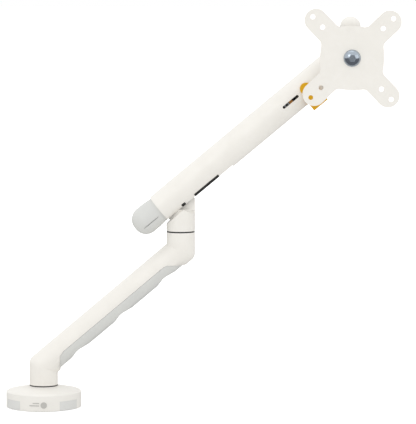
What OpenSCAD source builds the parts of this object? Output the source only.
// Desk monitor arm: a swivel base, a hollow dog-leg lower link with a clip-on cable cover,
// an elbow post, a spring-balanced upper arm with a levelling link, and a pan, tilt and roll
// head that carries a monitor plate. Millimetres, +Z up, origin at the centre of the base's
// underside. The upper arm lies in the X-Z plane and the plate faces -Y.

/* [Base] */
// Diameter of the base
base_d = 95; // [90:1:120]
// Height of the upright skirt
skirt_h = 20; // [19:0.5:26]
// Height of the whole base cover
base_h = 27; // [27:0.5:34]
// Wall of the base cover
cover_wall = 2.4; // [1.6:0.2:3]
// Thickness of the steel base plate
base_plate_t = 6; // [4:0.5:8]
// Thickness of the soft foot pad
pad_t = 2; // [1:0.5:3]
// Turn of the base about its post, which shows on its badge and inserts
base_turn = -4; // [-180:1:180]
// Tapping radius of the desk bolt hole (M10)
desk_bolt_r = 4.25; // [3.3:0.05:5.1]
// Depth of the desk bolt hole
desk_bolt_depth = 22; // [14:1:24]

/* [Lower link] */
// Diameter of the link tube and of both posts
post_d = 36; // [32:1:44]
// Distance from the base post to the elbow post
link_reach = 174; // [150:1:230]
// Height of the lower bend's centre
low_bend_z = 52.6; // [52:0.2:64]
// Height of the upper bend's centre
high_bend_z = 199.2; // [180:0.2:250]
// Radius of the cable tunnel along the link
tunnel_r = 10; // [7:0.5:10]
// Thickness of the black ring under each post
ring_t = 1.5; // [1:0.1:2.5]
// Depth of the steps in the cable cover's underside
notch_depth = 3; // [1:0.1:3.4]
// Distance from one step to the next
notch_pitch = 71; // [60:1:76]

/* [Upper arm] */
// Width of the arm tube
tube_w = 45; // [42:1:52]
// Height of the arm tube
tube_h = 37; // [36:1:44]
// Wall of the arm tube
tube_wall = 2.8; // [2:0.1:3]
// Length from the main pivot to the head pivot
arm_len = 245; // [215:1:300]
// Lift of the arm above level at rest
lift_angle = 39.8; // [20:0.1:42]
// Distance from the main pivot down to the top of the elbow ring
pivot_rise = 50.4; // [48:0.2:60]
// How far the tube runs behind the main pivot
tail_len = 34.9; // [32:0.1:40]
// Length of the rounded tail cap
cap_len = 39.3; // [36:0.1:46]
// Half width of the slot in the tube's underside
slot_half_w = 13; // [13:0.1:15]
// Length of the underside slot ahead of the pivot
slot_reach = 71.3; // [60:0.1:90]
// Height of the spring anchor above the main pivot
anchor_r = 10.6; // [10.4:0.1:10.8]
// Offset of the levelling link below the two arm pivots
level_offset = 9.5; // [9.3:0.1:10]
// Outer diameter of the balance spring
spring_d = 21; // [18:0.5:21]
// Wire diameter of the balance spring
wire_d = 3; // [2:0.2:3.4]
// Number of coils
spring_coils = 15; // [8:1:18]

/* [Cable clip] */
// Distance from the main pivot to the clip's lower end
clip_start = 194.2; // [186:0.1:196]
// Length of the clip
clip_len = 22; // [14:0.5:24]
// Depth of the clip below the tube's axis
clip_drop = 28.5; // [26.5:0.1:34]
// Wall of the clip
clip_wall = 2.2; // [1.6:0.1:3]

/* [Head] */
// Distance from the head pivot to the pan post
pan_reach = 24.8; // [24.5:0.1:30]
// Diameter of the pan post
pan_d = 26; // [24:0.5:28]
// Height of the plate's centre above the head pivot
plate_rise = 12.3; // [10:0.1:16]
// Height of the pan post's shoulder above the plate's centre
pan_top = 39.2; // [36:0.1:44]
// Distance from the pan post to the tilt bolt
tilt_reach = 29; // [28:0.5:34]
// Distance from the pan post to the plate's front face
plate_reach = 49.5; // [49:0.5:58]

/* [Plate] */
// Hole spacing of the outer pattern (VESA 100)
vesa_outer = 100; // [100:25:100]
// Hole spacing of the inner pattern (VESA 75)
vesa_inner = 75; // [75:25:75]
// Radius of the plate's mounting holes
vesa_hole_r = 3; // [2.2:0.1:3.2]
// Thickness of the plate
plate_t = 3; // [2.5:0.1:4]
// Half width of the plate's middle
plate_half = 39.8; // [34:0.1:42]
// Radius of each corner ear
ear_r = 14.5; // [10:0.1:15]
// Distance from the middle to an ear's centre, across and up
ear_at = 45.8; // [44:0.1:50]
// Roll of the plate at rest
plate_roll = 1.33; // [-10:0.01:10]
// Radius of the button-head bolt that holds the plate
plate_bolt_head_r = 10.65; // [9:0.05:12]

/* [Hidden] */
$fn = 72;
big = 300;
run_fit = 0.05; // radial clearance of a shaft in its bush
gap = 0.3; // clearance between pieces that move past each other

// Base
base_r = base_d / 2;
post_r = post_d / 2;
spindle_shoulder_r = post_r - 2;
base_spindle_r = 10;
bush_wall = 3;
bush_len = 6;
flange_r = post_r + 9;
flange_t = 3;
plate_top = pad_t + base_plate_t;
base_screw_at = post_r + 4;
base_screw_r = 2.5;
insert_h = 12.5;
insert_t = 1.2;
insert_from = 32;
insert_to = 68;
ring_r = post_r - 0.4;
post_low_z = base_h + ring_t;
base_spindle_top = low_bend_z - 2.6;

// Lower link
link_angle = atan2(high_bend_z - low_bend_z, link_reach);
link_len = norm([link_reach, high_bend_z - low_bend_z]);
link_r = post_r + 0.1; // the sloping tube stands just proud of the posts at its mitres
mitre = (90 + link_angle) / 2;
post_high_z = high_bend_z + 23.3; // top of the link's elbow post
seam = 1.2; // the cover's seam lies this far below the link's axis
cover_rise = 2.2; // the cover's underside is this much shallower than the tube
cover_from_x = post_r + 3.4; // its upright edge beside the base post
cover_top_z = high_bend_z - 17.9; // its level edge under the elbow post
tunnel_from = 26;
tunnel_to = link_len - 27.5;
cover_gap = 0.25;

// Elbow
elbow_z = post_high_z + ring_t + 0.3;
elbow_spindle_r = 6.5;
elbow_spindle_len = 22;
elbow_bush_wall = 2;
keeper_z = elbow_z + 11.5;
keeper_r = 2;
pivot_x = link_reach;
pivot_z = elbow_z + pivot_rise;
tongue_half = 8;
lens_r = 20; // the post narrows to a lens where it stands in the tube's slot
lens_top = pivot_z - 22.7;
blade_half = 3;
tongue_head_r = 15;
lift_max = 42; // the arm's steepest and lowest lift
lift_min = -25;

// Upper arm
arc_r = tube_h / 2; // round sides of the tube
inner_w = tube_w - 2 * tube_wall;
inner_h = tube_h - 2 * tube_wall;
tube_end = arm_len + 4.5;
pin_r = 4;
small_pin_r = 2.5;
anchor_pin_r = 2.5;
anchor_at = 100; // direction of the anchor from the pivot, above level
anchor_x = anchor_r * cos(anchor_at);
anchor_z = anchor_r * sin(anchor_at);
frame_in = 14;
frame_out = 17;
trim_w = 4.2;
bulkhead_from = 42;
bulkhead_to = 48;
rod_r = 3;
rod_z = 3.5; // height of the spring above the tube's axis
link_in = 9; // levelling link, across the arm
link_out = 11.8;
link_half_h = 2.6;
eye_r = 4.6;
nut_from = 169;
nut_to = 175.6;
nut_plate_t = 1.4;
gauge_from = 166;
gauge_to = 191;
gauge_half_w = 1.8;
gauge_z = -1;
pointer_from = 176.5;
pointer_to = 181;
rod_end = 214;
rod_head_t = 3;
pocket_from = 29.5; // the rod's head sits in a pocket of the yoke from here
clip_half_w = tube_w / 2 + clip_wall;
clip_ear_r = 7.6;
clip_ear_at = clip_start + 9.4;
clip_top = 5.6;

// Head
head_x = pivot_x + arm_len * cos(lift_angle);
head_z = pivot_z + arm_len * sin(lift_angle);
pan_x = head_x + pan_reach;
pan_r = pan_d / 2;
plate_z = head_z + plate_rise;
lug_top = plate_z - 24;
lug_h = 16;
washer_t = 1;
barrel_low = lug_top + washer_t;
barrel_top = plate_z + pan_top;
pan_shaft_r = 5;
yoke_half = 8;
tilt_half = 6;
tilt_r = 10;
tilt_ear_t = 5;
tilt_pin_r = 4;
hub_back = 38;
bridge_t = 2;
hub_t = plate_reach - plate_t - hub_back - bridge_t - 1.5;
hub_r = 14;
bolt_r = 6;

// ---- Placing and shaping helpers ----

// Everything past a plane through (x, z) whose normal leans up from +X by a.
module beyond(x, z, a) {
    translate([x, 0, z]) rotate([0, -a, 0]) translate([0, -big, -big]) cube([2 * big, 2 * big, 2 * big]);
}

// Everything before that plane.
module before(x, z, a) {
    translate([x, 0, z]) rotate([0, -a, 0]) translate([-2 * big, -big, -big]) cube([2 * big, 2 * big, 2 * big]);
}

// A cylinder along +Y from y0 to y1 at (x, z).
module across(x, z, r, y0, y1) {
    translate([x, y0, z]) rotate([-90, 0, 0]) cylinder(r = r, h = y1 - y0);
}

// A cylinder along +X from x0 to x1 at (y, z).
module lengthwise(y, z, r, x0, x1) {
    translate([x0, y, z]) rotate([0, 90, 0]) cylinder(r = r, h = x1 - x0);
}

// The link's own frame: x runs up the link from the lower bend.
module in_link() {
    translate([0, 0, low_bend_z]) rotate([0, -link_angle, 0]) children();
}

// The arm's own frame: x runs up the arm from the main pivot.
module in_arm() {
    translate([pivot_x, 0, pivot_z]) rotate([0, -lift_angle, 0]) children();
}

// An outline in (y, z), pushed along x.
module along_x(x0, x1) {
    translate([x0, 0, 0]) rotate([90, 0, 90]) linear_extrude(x1 - x0) children();
}

// An outline in (x, z), pushed along y.
module along_y(y0, y1) {
    translate([0, y1, 0]) rotate([90, 0, 0]) linear_extrude(y1 - y0) children();
}

// A flat-sided round outline, w across and h high.
module stadium(w, h) {
    for (side = [-1, 1]) translate([side * (w - h) / 2, 0]) circle(h / 2);
    translate([-(w - h) / 2, -h / 2]) square([w - h, h]);
}

// A bar with round ends from one point to another in (x, z).
module bar(p, q, half) {
    run = norm(q - p);
    for (end = [p, q]) translate(end) circle(half);
    translate(p) rotate(atan2(q[1] - p[1], q[0] - p[0])) translate([0, -half]) square([run, 2 * half]);
}

// The dog-leg of both posts and the sloping tube between them, mitred at the bends.
module dog_leg() {
    difference() {
        translate([0, 0, post_low_z]) cylinder(r = post_r, h = low_bend_z + post_r - post_low_z);
        beyond(0, low_bend_z, mitre);
    }
    difference() {
        in_link() lengthwise(0, 0, link_r, -post_r, link_len + post_r);
        before(0, low_bend_z, mitre);
        beyond(link_reach, high_bend_z, mitre);
    }
    difference() {
        translate([link_reach, 0, high_bend_z - post_r])
            cylinder(r = post_r, h = post_high_z - high_bend_z + post_r);
        before(link_reach, high_bend_z, mitre);
    }
}

// What the cable cover may fill, seen from the side.
module cover_zone(margin) {
    along = [cos(link_angle), sin(link_angle)];
    edge = [seam * along[1], low_bend_z - seam * along[0]];
    low = (cover_from_x + 4.5 - edge[0]) / along[0];
    high = (cover_top_z - 2 - edge[1]) / along[1];
    low_corner = edge + low * along;
    high_corner = edge + high * along;
    along_y(-big, big) polygon([
        [cover_from_x + margin, -big], [cover_from_x + margin, low_corner[1] - 6.5],
        low_corner + margin * [along[1], -along[0]], high_corner + margin * [along[1], -along[0]],
        [high_corner[0] + 4, cover_top_z - margin], [2 * big, cover_top_z - margin], [2 * big, -big],
    ]);
}

// ---- Base ----

module foot_pad() {
    color([0.12, 0.12, 0.12]) difference() {
        cylinder(r = base_r - cover_wall - 0.4, h = pad_t);
        translate([0, 0, -1]) cylinder(r = 12.5, h = pad_t + 2);
    }
}

module base_plate() {
    color([0.45, 0.46, 0.48]) difference() {
        translate([0, 0, pad_t]) cylinder(r = base_r - cover_wall - 0.4, h = base_plate_t);
        cylinder(r = 12, h = big);
        for (k = [0:3]) rotate(45 + 90 * k) translate([base_screw_at, 0, pad_t - 1])
            cylinder(r = base_screw_r, h = big);
    }
}

// The cover's outline, turned about the post: a skirt and a low cone.
module cover_outline(inset) {
    polygon([
        [0, 0.6], [base_r - inset, 0.6], [base_r - inset, skirt_h - 0.6 * inset],
        [base_r - 2 - inset, skirt_h + 1.6 - inset], [post_r + 1, base_h - inset], [0, base_h - inset],
    ]);
}

module insert_rings(depth, margin) {
    for (side = [-1, 1])
        rotate(base_turn - 90 + side * (insert_from + insert_to) / 2 - (insert_to - insert_from) / 2 - margin)
            rotate_extrude(angle = insert_to - insert_from + 2 * margin)
                translate([base_r - depth, 0.6]) square([depth + margin, insert_h - 0.6 + margin]);
}

module base_cover() {
    color([0.93, 0.92, 0.89]) difference() {
        rotate_extrude() cover_outline(0);
        translate([0, 0, -0.01]) rotate_extrude() difference() {
            cover_outline(cover_wall);
            translate([0, base_h - cover_wall - 0.01]) square([base_r, cover_wall + 1]);
        }
        translate([0, 0, -1]) cylinder(r = base_r - cover_wall, h = 3);
        cylinder(r = spindle_shoulder_r + 0.2, h = big);
        insert_rings(insert_t, 0.01);
    }
}

module skirt_inserts() {
    color([0.78, 0.78, 0.76]) insert_rings(insert_t, 0);
}

// A plain round mark and two plain bars on the front of the skirt.
module base_badge() {
    proud = 0.35;
    color([0.62, 0.61, 0.58]) rotate(base_turn) {
        for (row = [0, 1])
            rotate(-90 - 15 + 5 * row)
                rotate_extrude(angle = 15 - 5 * row)
                    translate([base_r, 7.4 + 3 * row]) square([proud, 1.2]);
        rotate(7) intersection() {
            across(0, 8.6, 4, -base_r - 2, -base_r + 2);
            rotate_extrude() translate([base_r, 0]) square([proud, skirt_h]);
        }
    }
}

module base_screws() {
    color([0.6, 0.6, 0.62]) for (k = [0:3]) rotate(45 + 90 * k) translate([base_screw_at, 0, 0]) {
        translate([0, 0, pad_t + 1]) cylinder(r = base_screw_r, h = plate_top + flange_t - pad_t - 1);
        difference() {
            translate([0, 0, plate_top + flange_t]) cylinder(r = 4.5, h = 2.6);
            translate([0, 0, plate_top + flange_t + 1]) cylinder(r = 1.5, h = 3, $fn = 6);
        }
    }
}

module base_spindle() {
    color([0.7, 0.71, 0.73]) difference() {
        union() {
            cylinder(r = 12, h = plate_top);
            translate([0, 0, plate_top]) cylinder(r = flange_r, h = flange_t);
            translate([0, 0, plate_top]) cylinder(r = spindle_shoulder_r, h = base_h - plate_top);
            cylinder(r = base_spindle_r, h = base_spindle_top);
        }
        translate([0, 0, -1]) cylinder(r = desk_bolt_r, h = desk_bolt_depth + 1);
        translate([0, 0, base_spindle_top - 14]) cylinder(r = small_pin_r, h = 20);
        for (k = [0:3]) rotate(45 + 90 * k) translate([base_screw_at, 0, 0])
            cylinder(r = base_screw_r, h = big);
    }
}

// A flat ring about Z.
module ring(outer, inner, z0, h) {
    translate([0, 0, z0]) difference() {
        cylinder(r = outer, h = h);
        translate([0, 0, -1]) cylinder(r = inner, h = h + 2);
    }
}

module base_ring() {
    color([0.1, 0.1, 0.1]) ring(ring_r, base_spindle_r + 0.2, base_h, ring_t);
}

module base_retainer() {
    color([0.6, 0.6, 0.62]) {
        ring(9, small_pin_r, base_spindle_top, 1.5);
        difference() {
            union() {
                translate([0, 0, base_spindle_top - 12]) cylinder(r = small_pin_r, h = 13.5);
                translate([0, 0, base_spindle_top + 1.5]) cylinder(r = 4.5, h = 2.8);
            }
            translate([0, 0, base_spindle_top + 2.5]) cylinder(r = 1.5, h = 3, $fn = 6);
        }
    }
}

// ---- Lower link ----

module lower_link() {
    color([0.93, 0.92, 0.89]) difference() {
        dog_leg();
        cover_zone(0);
        in_link() lengthwise(0, 0, tunnel_r, tunnel_from, tunnel_to);
        cylinder(r = base_spindle_r + bush_wall, h = base_spindle_top + gap);
        cylinder(r = base_spindle_r, h = base_spindle_top + 7);
        translate([link_reach, 0, post_high_z - 24]) cylinder(r = 10, h = big);
        for (x = [0, link_reach])
            across(x, friction_z(x), small_pin_r, 0, big);
    }
}

// Height of the friction screw in each post.
function friction_z(x) = x == 0 ? post_low_z + 10.5 : post_high_z - 9;

module base_bushes() {
    color([0.16, 0.16, 0.17]) for (z = [post_low_z, base_spindle_top - bush_len])
        ring(base_spindle_r + bush_wall, base_spindle_r + run_fit, z, bush_len);
}

module elbow_spindle() {
    color([0.7, 0.71, 0.73]) translate([link_reach, 0, 0]) difference() {
        union() {
            translate([0, 0, post_high_z - 24]) cylinder(r = 10, h = 24);
            translate([0, 0, post_high_z])
                cylinder(r = elbow_spindle_r, h = elbow_z - post_high_z + elbow_spindle_len);
        }
        ring(elbow_spindle_r + 1, elbow_spindle_r - 1.5, keeper_z - 3, 6);
    }
}

module elbow_ring() {
    color([0.1, 0.1, 0.1]) translate([link_reach, 0, 0])
        ring(ring_r, elbow_spindle_r + 0.3, post_high_z, elbow_z - post_high_z);
}

module friction_screws() {
    color([0.3, 0.3, 0.31]) for (x = [0, link_reach]) difference() {
        across(x, friction_z(x), small_pin_r, x == 0 ? base_spindle_r + 0.3 : 10, post_r - 1.5);
        across(x, friction_z(x), 1.25, post_r - 4, post_r);
    }
}

// One step in the cover's underside: steep at its lower end and easing out at its upper end.
module cover_step(at) {
    floor_z = cover_rise - post_r;
    along_y(-big, big) polygon([
        [at - 12, floor_z - big / 10], [at - 12, floor_z], [at, floor_z + notch_depth], [at + 4.5, floor_z + notch_depth],
        [at + 17, floor_z + 0.5], [at + 21, floor_z - big / 10],
    ]);
}

module cable_cover() {
    color([0.78, 0.78, 0.76]) difference() {
        intersection() {
            dog_leg();
            cover_zone(cover_gap);
            in_link() lengthwise(0, cover_rise, link_r, -big, big);
        }
        in_link() {
            lengthwise(0, 0, tunnel_r, -big, tunnel_to);
            for (k = [0:2]) cover_step(45 + k * notch_pitch);
        }
    }
}

// ---- Elbow post ----

// Everything above the tube's underside when the arm is lifted by an angle.
module under_arm(lift) {
    clear = tube_h / 2 + 0.4;
    beyond(pivot_x + clear * sin(lift), pivot_z - clear * cos(lift), lift + 90);
}

// The post is round up to a roof that the tube swings over, a lens in the tube's slot, and a
// narrow tongue at the top that holds the pins.
module elbow_post() {
    back = tail_len - 0.6;
    color([0.93, 0.92, 0.89]) difference() {
        union() {
            difference() {
                translate([pivot_x, 0, elbow_z]) cylinder(r = post_r, h = pivot_z - elbow_z);
                under_arm(lift_max);
                under_arm(lift_min);
            }
            difference() {
                intersection() {
                    translate([pivot_x, 0, elbow_z]) cylinder(r = post_r, h = lens_top - elbow_z);
                    translate([pivot_x, lens_r - slot_half_w + gap, elbow_z]) cylinder(r = lens_r, h = big);
                    translate([pivot_x, slot_half_w - gap - lens_r, elbow_z]) cylinder(r = lens_r, h = big);
                }
                // the tail cap comes down here when the arm is lifted
                before(pivot_x - back * cos(lift_max), pivot_z - back * sin(lift_max), lift_max);
            }
            along_y(-tongue_half, tongue_half) {
                polygon([
                    [pivot_x - tongue_head_r, lens_top - 1], [pivot_x + post_r, lens_top - 1],
                    [pivot_x + post_r, pivot_z - 11], [pivot_x + tongue_head_r, pivot_z - 4],
                    [pivot_x + tongue_head_r, pivot_z], [pivot_x - tongue_head_r, pivot_z],
                ]);
                translate([pivot_x, pivot_z]) circle(tongue_head_r);
            }
        }
        translate([pivot_x, 0, elbow_z - 1])
            cylinder(r = elbow_spindle_r + elbow_bush_wall, h = elbow_spindle_len + 2);
        translate([0, -blade_half - gap, pivot_z - 20.5]) cube([big, 2 * (blade_half + gap), big]);
        across(pivot_x, pivot_z, pin_r + 1.5, -big, big);
        across(pivot_x + anchor_x, pivot_z + anchor_z, anchor_pin_r, -big, big);
        across(pivot_x, pivot_z - level_offset, small_pin_r, 0, big);
        across(pivot_x, keeper_z, keeper_r, 0, big);
    }
}

module elbow_bushes() {
    color([0.16, 0.16, 0.17]) translate([pivot_x, 0, 0])
        for (z = [elbow_z + 1, elbow_z + elbow_spindle_len - bush_len])
        ring(elbow_spindle_r + elbow_bush_wall, elbow_spindle_r + run_fit, z, bush_len);
}

module elbow_keeper() {
    color([0.3, 0.3, 0.31]) difference() {
        across(pivot_x, keeper_z, keeper_r, elbow_spindle_r - 1.2, post_r - 1.5);
        across(pivot_x, keeper_z, 1, post_r - 4, post_r);
    }
}

module pivot_bushes() {
    color([0.72, 0.55, 0.25]) for (side = [-1, 1]) difference() {
        across(pivot_x, pivot_z, pin_r + 1.5, side > 0 ? blade_half + gap : -tongue_half,
            side > 0 ? tongue_half : -blade_half - gap);
        across(pivot_x, pivot_z, pin_r + run_fit, -big, big);
    }
}

module anchor_pin() {
    color([0.6, 0.6, 0.62])
        across(pivot_x + anchor_x, pivot_z + anchor_z, anchor_pin_r, -tongue_half, tongue_half);
}

// A shouldered pin for one end of the levelling link.
module link_pin(x, z, from) {
    across(x, z, small_pin_r, from, link_out + 0.1);
    across(x, z, small_pin_r + 1.5, tongue_half, link_in - 0.1);
    across(x, z, small_pin_r + 0.8, link_out + 0.1, link_out + 1);
}

module level_pin() {
    color([0.6, 0.6, 0.62]) link_pin(pivot_x, pivot_z - level_offset, blade_half + gap);
}

// ---- Upper arm ----

module trim_zone(margin) {
    for (side = [-1, 1], span = [[-10, -4.5], [11, 50]])
        along_x(span[0] - margin, span[1] + margin) intersection() {
            difference() {
                stadium(tube_w + 0.8, tube_h + 0.8);
                stadium(tube_w - 1.6, tube_h - 1.6);
            }
            translate([side > 0 ? slot_half_w : -slot_half_w - trim_w, -tube_h]) square([trim_w, tube_h]);
        }
}

module arm_tube() {
    color([0.93, 0.92, 0.89]) in_arm() difference() {
        along_x(-tail_len, tube_end) difference() {
            stadium(tube_w, tube_h);
            stadium(inner_w, inner_h);
        }
        translate([-tail_len - 1, -slot_half_w, -tube_h])
            cube([tail_len + 1 + slot_reach, 2 * slot_half_w, tube_h - 10]);
        trim_zone(0.01);
        // gauge window
        along_y(-big, -inner_w / 2 + 2)
            bar([gauge_from + gauge_half_w, gauge_z], [gauge_to - gauge_half_w, gauge_z], gauge_half_w);
        // relief for the head, below and above
        translate([arm_len - 11, -pan_r - 1.3, -tube_h]) cube([big, 2 * pan_r + 2.6, tube_h - 8]);
        translate([arm_len + 2.5, -pan_r - 1.3, 8]) cube([big, 2 * pan_r + 2.6, tube_h]);
        across(arm_len, 0, pin_r + 1.5, -big, big);
    }
}

// The cap's outline, turned about the arm's axis: a neck, a slight swell and a round end.
module cap_outline(inset) {
    swell = tube_h / 2 - 0.7;
    round_r = 16.2;
    difference() {
        union() {
            polygon([
                [0, 0], [swell - 1.1 - inset, 0], [swell - 1.1 - inset, 4], [swell - 0.2 - inset, cap_len - 26.6],
                [swell - inset, cap_len - round_r], [0, cap_len - round_r],
            ]);
            intersection() {
                translate([swell - round_r, cap_len - round_r]) circle(round_r - inset);
                translate([0, cap_len - round_r]) square([swell, round_r]);
            }
            translate([0, cap_len - round_r]) square([swell - round_r, round_r - inset]);
        }
        translate([-big, -big]) square([big, 2 * big]);
    }
}

module cap_body(inset) {
    half_flat = (tube_w - tube_h) / 2;
    for (side = [-1, 1]) translate([0, side * half_flat, 0])
        rotate([0, -90, 0]) rotate_extrude() cap_outline(inset);
    along_y(-half_flat, half_flat) rotate(90) {
        cap_outline(inset);
        mirror([1, 0]) cap_outline(inset);
    }
}

module tail_cap() {
    groove_in = (tube_w - tube_h) / 2 + tube_h / 2 - 3.9;
    color([0.78, 0.78, 0.76]) in_arm() translate([-tail_len, 0, 0]) difference() {
        cap_body(0);
        translate([0.01, 0, 0]) cap_body(tube_wall);
        // cable notch in the underside
        translate([-6, -5, -tube_h]) cube([7, 10, tube_h - 5]);
        // parting groove on both sides
        for (side = [-1, 1])
            translate([-30, side > 0 ? groove_in : -big, -6.6]) cube([23.5, big - groove_in, 1.2]);
    }
}

module slot_trim() {
    color([0.1, 0.1, 0.1]) in_arm() trim_zone(0);
}

// Window that lets the levelling link pass a plate in the tube.
module link_window() {
    translate([link_in - 0.8, -level_offset - link_half_h - 1])
        square([link_out - link_in + 1.6, level_offset + 2 * link_half_h - 4]);
}

// A steel cradle in the tube: two cheeks that hold the pivot pin and a bulkhead for the spring.
module arm_frame() {
    color([0.5, 0.51, 0.53]) in_arm() difference() {
        union() {
            along_x(bulkhead_from, bulkhead_to) difference() {
                stadium(inner_w, inner_h);
                link_window();
            }
            for (side = [-1, 1])
                along_x(-10, bulkhead_from) translate([side > 0 ? frame_in : -frame_out, -8])
                    square([frame_out - frame_in, 16]);
        }
        across(0, 0, pin_r, -big, big);
        lengthwise(0, rod_z, rod_r + 0.2, 0, big);
    }
}

module pivot_pin() {
    color([0.7, 0.71, 0.73]) across(pivot_x, pivot_z, pin_r, -frame_out - 1.2, frame_out + 1.2);
}

module pivot_clips() {
    color([0.3, 0.3, 0.31]) for (y = [-frame_out - 0.8, frame_out]) difference() {
        across(pivot_x, pivot_z, pin_r + 1.6, y, y + 0.8);
        across(pivot_x, pivot_z, pin_r, -big, big);
    }
}

// A round wire swept along a helix, from the bulkhead to the preload nut.
module balance_spring() {
    sides = 6;
    steps = 12;
    wire_r = wire_d / 2;
    coil_r = (spring_d - wire_d) / 2;
    from = bulkhead_to + wire_r + 0.1;
    rise = (nut_from - wire_r - 0.1 - from) / spring_coils;
    last = spring_coils * steps;
    points = [for (k = [0:last], s = [0:sides - 1])
        let (turn = 360 * k / steps, out = coil_r + wire_r * cos(360 * s / sides))
        [from + rise * k / steps + wire_r * sin(360 * s / sides), out * cos(turn), rod_z + out * sin(turn)]];
    faces = concat(
        [[for (s = [0:sides - 1]) s]],
        [[for (s = [0:sides - 1]) last * sides + sides - 1 - s]],
        [for (k = [0:last - 1], s = [0:sides - 1])
            let (t = (s + 1) % sides, a = k * sides)
            [a + s, a + sides + s, a + sides + t, a + t]]
    );
    color([0.55, 0.56, 0.58]) in_arm() polyhedron(points, faces, convexity = 10);
}

// The clip's outline across the arm: a tray with round lower corners.
module clip_outline(half, low, r) {
    translate([-half, low + r]) square([2 * half, -clip_top - low - r]);
    translate([-half + r, low]) square([2 * (half - r), 2 * r]);
    for (side = [-1, 1]) translate([side * (half - r), low + r]) circle(r);
}

// A hook that hangs on the near side of the tube and carries cables under it.
module cable_clip() {
    corner_r = 6;
    lip = 0.5;
    tray_z = -clip_drop + clip_wall;
    color([0.85, 0.63, 0.16]) in_arm() difference() {
        union() {
            along_x(clip_start, clip_start + clip_len) clip_outline(clip_half_w, -clip_drop, corner_r);
            across(clip_ear_at, -0.5, clip_ear_r, -clip_half_w, -tube_w / 2 + 3);
        }
        along_x(clip_start - 1, clip_start + clip_len + 1) {
            stadium(tube_w, tube_h);
            clip_outline(clip_half_w - clip_wall, tray_z, corner_r - clip_wall);
            // the far side is open above a low lip, so that a cable can be laid in
            translate([tube_w / 2 - 6, tray_z + lip]) square([big, big]);
            translate([-tube_w / 2 + clip_wall, -clip_top - 3]) square([tube_w, big]);
        }
    }
}

module head_pin() {
    color([0.6, 0.6, 0.62]) {
        across(head_x, head_z, pin_r, -tube_w / 2 - 0.2, tube_w / 2 + 0.2);
        for (y = [-tube_w / 2 - 2.2, tube_w / 2 + 0.2]) across(head_x, head_z, pin_r + 2, y, y + 2);
    }
}

module head_bushes() {
    color([0.72, 0.55, 0.25]) for (side = [-1, 1]) difference() {
        across(head_x, head_z, pin_r + 1.5, side > 0 ? yoke_half + 6 : -tube_w / 2, side > 0 ? tube_w / 2 : -yoke_half - 6);
        across(head_x, head_z, pin_r, -big, big);
    }
}

// ---- Spring rod, preload nut and levelling link ----

// The anchor seen in the arm's frame at rest.
anchor_s = anchor_r * cos(anchor_at - lift_angle);
anchor_sweep = 125; // the anchor's lowest direction in the arm's frame, with the arm fully down

module spring_yoke() {
    blade_low = pin_r + 0.5;
    blade_top = inner_h / 2 - 0.5;
    foot_from = 25;
    foot_to = 36;
    color([0.5, 0.51, 0.53]) in_arm() difference() {
        union() {
            along_y(-blade_half, blade_half) {
                translate([anchor_s - 6, blade_low]) square([foot_to - anchor_s + 6, blade_top - blade_low]);
                translate([foot_from, rod_z - 8]) square([foot_to - foot_from, blade_top - rod_z + 8]);
            }
            lengthwise(0, rod_z, 5.5, foot_to - 3, foot_to + 4);
        }
        // a tall eye: the anchor rises and falls in it as the arm swings
        along_y(-big, big)
            bar([anchor_s, anchor_r * sin(anchor_sweep)], [anchor_s, anchor_r], anchor_pin_r + gap);
        lengthwise(0, rod_z, rod_r + run_fit, pocket_from, big);
        translate([pocket_from, -blade_half - 1, rod_z - rod_r - 1.5])
            cube([rod_head_t + gap, 2 * blade_half + 2, 2 * rod_r + 3]);
    }
}

module pull_rod() {
    color([0.7, 0.71, 0.73]) in_arm() difference() {
        union() {
            lengthwise(0, rod_z, rod_r, pocket_from + gap / 2, rod_end);
            lengthwise(0, rod_z, rod_r + 1, pocket_from + gap / 2, pocket_from + gap / 2 + rod_head_t);
            lengthwise(0, rod_z, rod_r + 1.5, rod_end, rod_end + 5);
        }
        lengthwise(0, rod_z, 2, rod_end + 1.5, rod_end + 6, $fn = 6);
    }
}

module nut_disc(x0, x1) {
    along_x(x0, x1) difference() {
        stadium(inner_w - 2 * gap, inner_h - 2 * gap);
        link_window();
    }
}

module preload_nut() {
    color([0.75, 0.76, 0.78]) in_arm() difference() {
        union() {
            nut_disc(nut_from, nut_from + nut_plate_t);
            nut_disc(nut_to - nut_plate_t, nut_to);
            lengthwise(0, rod_z, 6, nut_from + 0.5, pointer_to + 4);
        }
        lengthwise(0, rod_z, rod_r + run_fit, 0, big);
    }
}

module nut_guide() {
    color([0.1, 0.1, 0.1]) in_arm() difference() {
        nut_disc(nut_from + nut_plate_t, nut_to - nut_plate_t);
        lengthwise(0, rod_z, 6, 0, big);
    }
}

module gauge_pointer() {
    color([0.9, 0.5, 0.08]) in_arm() difference() {
        intersection() {
            nut_disc(pointer_from, pointer_to);
            translate([0, -big, -6]) cube([big, big, 17]);
        }
        lengthwise(0, rod_z, 6, 0, big);
    }
}

module level_link() {
    low = [pivot_x, pivot_z - level_offset];
    high = [head_x, head_z - level_offset];
    color([0.5, 0.51, 0.53]) difference() {
        along_y(link_in, link_out) {
            bar(low, high, link_half_h);
            for (end = [low, high]) translate(end) circle(eye_r - 0.6);
        }
        across(low[0], low[1], small_pin_r + run_fit, 0, big);
        across(high[0], high[1], small_pin_r + gap, 0, big);
    }
}

// ---- Head ----

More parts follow.
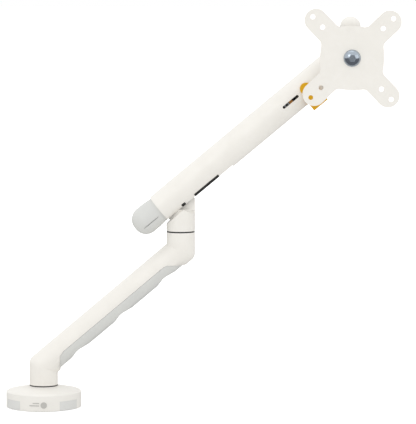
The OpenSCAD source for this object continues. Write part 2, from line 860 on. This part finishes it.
module head_yoke() {
    color([0.5, 0.51, 0.53]) difference() {
        union() {
            along_y(-yoke_half, yoke_half) {
                bar([head_x, head_z], [pan_x, lug_top - lug_h / 2], 7);
                translate([head_x, head_z]) circle(9);
                translate([head_x, head_z - level_offset]) circle(4.5);
            }
            translate([pan_x, 0, lug_top - lug_h]) cylinder(r = pan_r, h = lug_h);
        }
        across(head_x, head_z, pin_r + run_fit, -big, big);
        across(head_x, head_z - level_offset, small_pin_r, 0, big);
        translate([pan_x, 0, lug_top - lug_h - 1]) cylinder(r = pan_shaft_r, h = big);
        // the top of the neck stays under the pan post
        translate([pan_x, 0, lug_top]) cylinder(r = pan_r + 1.2, h = big);
    }
}

module level_stud() {
    color([0.6, 0.6, 0.62]) link_pin(head_x, head_z - level_offset, 0);
}

module pan_shaft() {
    color([0.7, 0.71, 0.73]) translate([pan_x, 0, 0]) {
        translate([0, 0, lug_top - lug_h]) cylinder(r = pan_shaft_r, h = barrel_top - 6 - lug_top + lug_h);
        translate([0, 0, lug_top - lug_h - 1.5]) cylinder(r = 8, h = 1.5);
        translate([0, 0, barrel_top - 6]) cylinder(r = 7.5, h = 2);
    }
}

module pan_washer() {
    color([0.1, 0.1, 0.1]) translate([pan_x, 0, 0]) ring(pan_r - 0.6, pan_shaft_r + 0.2, lug_top, washer_t);
}

module pan_barrel() {
    bore_r = pan_shaft_r + 2.5;
    color([0.93, 0.92, 0.89]) difference() {
        union() {
            translate([pan_x, 0, barrel_low]) cylinder(r = pan_r, h = barrel_top - barrel_low);
            translate([pan_x - tilt_half, 0, plate_z]) rotate([0, 90, 0]) {
                translate([0, -tilt_reach, 0]) cylinder(r = tilt_r, h = 2 * tilt_half);
                translate([-tilt_r, -tilt_reach, 0]) cube([2 * tilt_r, tilt_reach - pan_r + 3, 2 * tilt_half]);
            }
        }
        translate([pan_x, 0, barrel_low - 1]) cylinder(r = bore_r, h = big);
        translate([pan_x, 0, barrel_top - 8]) cylinder(r = pan_r - 3, h = big);
        lengthwise(-tilt_reach, plate_z, tilt_pin_r + run_fit, 0, 2 * big);
    }
}

module pan_bushes() {
    color([0.16, 0.16, 0.17]) translate([pan_x, 0, 0]) for (z = [barrel_low, barrel_top - 8 - bush_len])
        ring(pan_shaft_r + 2.5, pan_shaft_r + run_fit, z, bush_len);
}

// A round cap pushed into the top of the pan post.
module pan_cap() {
    rise = 11.6;
    dome_r = (pan_r * pan_r + rise * rise) / (2 * rise);
    color([0.93, 0.92, 0.89]) translate([pan_x, 0, barrel_top]) difference() {
        union() {
            intersection() {
                translate([0, 0, rise - dome_r]) sphere(dome_r);
                cylinder(r = pan_r, h = big);
            }
            translate([0, 0, -3]) cylinder(r = pan_r - 3, h = 4);
        }
        translate([0, 0, -4]) cylinder(r = pan_r - 5, h = 8);
    }
}

module tilt_bracket() {
    color([0.5, 0.51, 0.53]) difference() {
        union() {
            for (side = [0, 1])
                translate([pan_x + (side > 0 ? tilt_half + gap : -tilt_half - gap - tilt_ear_t), 0, plate_z]) rotate([0, 90, 0]) {
                    translate([0, -tilt_reach, 0]) cylinder(r = tilt_r, h = tilt_ear_t);
                    translate([-tilt_r, -hub_back - bridge_t, 0])
                        cube([2 * tilt_r, hub_back + bridge_t - tilt_reach, tilt_ear_t]);
                }
            across(pan_x, plate_z, hub_r, -hub_back - bridge_t - hub_t, -hub_back - bridge_t);
            translate([pan_x - tilt_half - gap - tilt_ear_t, -hub_back - bridge_t, plate_z - tilt_r])
                cube([2 * (tilt_half + gap + tilt_ear_t), bridge_t, 2 * tilt_r]);
        }
        // room for the pan post's tongue as the head tilts
        lengthwise(-tilt_reach, plate_z, tilt_r + gap, pan_x - tilt_half - gap, pan_x + tilt_half + gap);
        lengthwise(-tilt_reach, plate_z, tilt_pin_r, 0, 2 * big);
        across(pan_x, plate_z, bolt_r, -big, -hub_back - 1.5);
    }
}

module tilt_bolt() {
    ear_out = tilt_half + gap + tilt_ear_t;
    color([0.6, 0.6, 0.62]) difference() {
        union() {
            lengthwise(-tilt_reach, plate_z, tilt_pin_r, pan_x - ear_out, pan_x + ear_out + 7);
            lengthwise(-tilt_reach, plate_z, 7, pan_x - ear_out - 5.2, pan_x - ear_out - 1.2);
            lengthwise(-tilt_reach, plate_z, tilt_pin_r, pan_x - ear_out - 1.2, pan_x - ear_out);
        }
        lengthwise(-tilt_reach, plate_z, 2.5, pan_x - ear_out - 6, pan_x - ear_out - 2.7, $fn = 6);
    }
}

module tilt_nut() {
    ear_out = tilt_half + gap + tilt_ear_t;
    color([0.6, 0.6, 0.62]) difference() {
        lengthwise(-tilt_reach, plate_z, 7.4, pan_x + ear_out + 1.2, pan_x + ear_out + 6.2, $fn = 6);
        lengthwise(-tilt_reach, plate_z, tilt_pin_r, 0, 2 * big);
    }
}

module tilt_washers() {
    ear_out = tilt_half + gap + tilt_ear_t;
    color([0.3, 0.3, 0.31]) for (x = [pan_x - ear_out - 1.2, pan_x + ear_out]) difference() {
        lengthwise(-tilt_reach, plate_z, 8.5, x, x + 1.2);
        lengthwise(-tilt_reach, plate_z, tilt_pin_r, 0, 2 * big);
    }
}

module roll_washer() {
    back = -plate_reach + plate_t;
    color([0.1, 0.1, 0.1]) difference() {
        across(pan_x, plate_z, hub_r - 0.5, back + gap, -hub_back - bridge_t - hub_t);
        across(pan_x, plate_z, bolt_r, -big, big);
    }
}

module plate_bolt() {
    front = -plate_reach;
    head_h = 6;
    dome_r = (plate_bolt_head_r * plate_bolt_head_r + head_h * head_h) / (2 * head_h);
    color([0.82, 0.83, 0.85]) difference() {
        union() {
            across(pan_x, plate_z, bolt_r, front, -hub_back - 1.5);
            intersection() {
                translate([pan_x, front - gap - head_h + dome_r, plate_z]) sphere(dome_r);
                across(pan_x, plate_z, plate_bolt_head_r, front - 10, front - gap);
            }
            across(pan_x, plate_z, bolt_r, front - gap - 1, front);
        }
        across(pan_x, plate_z, 4.6, front - 12, front - 2.8, $fn = 6);
    }
}

// ---- Plate ----

// A square with slightly bowed sides and a round ear on each corner.
module plate_outline() {
    bow_r = 111;
    intersection_for(k = [0:3]) rotate(90 * k) translate([plate_half - bow_r, 0]) circle(bow_r, $fn = 200);
    for (k = [0:3]) rotate(45 + 90 * k) {
        translate([ear_at * sqrt(2), 0]) circle(ear_r);
        translate([0, -ear_r]) square([ear_at * sqrt(2), 2 * ear_r]);
    }
}

module vesa_plate() {
    color([0.93, 0.92, 0.89]) translate([pan_x, -plate_reach, plate_z])
        rotate([0, plate_roll, 0]) difference() {
        along_y(0, plate_t) plate_outline();
        across(0, 0, bolt_r + run_fit, -1, plate_t + 1);
        for (spacing = [vesa_outer, vesa_inner], x = [-0.5, 0.5], z = [-0.5, 0.5])
            across(spacing * x, spacing * z, vesa_hole_r, -1, plate_t + 1);
    }
}

foot_pad();
base_plate();
base_cover();
skirt_inserts();
base_badge();
base_screws();
base_spindle();
base_ring();
base_retainer();
lower_link();
base_bushes();
elbow_spindle();
elbow_ring();
friction_screws();
cable_cover();
elbow_post();
elbow_bushes();
elbow_keeper();
pivot_bushes();
anchor_pin();
level_pin();
arm_tube();
tail_cap();
slot_trim();
arm_frame();
pivot_pin();
pivot_clips();
balance_spring();
cable_clip();
head_pin();
head_bushes();
spring_yoke();
pull_rod();
preload_nut();
nut_guide();
gauge_pointer();
level_link();
head_yoke();
level_stud();
pan_shaft();
pan_washer();
pan_barrel();
pan_bushes();
pan_cap();
tilt_bracket();
tilt_bolt();
tilt_nut();
tilt_washers();
roll_washer();
plate_bolt();
vesa_plate();
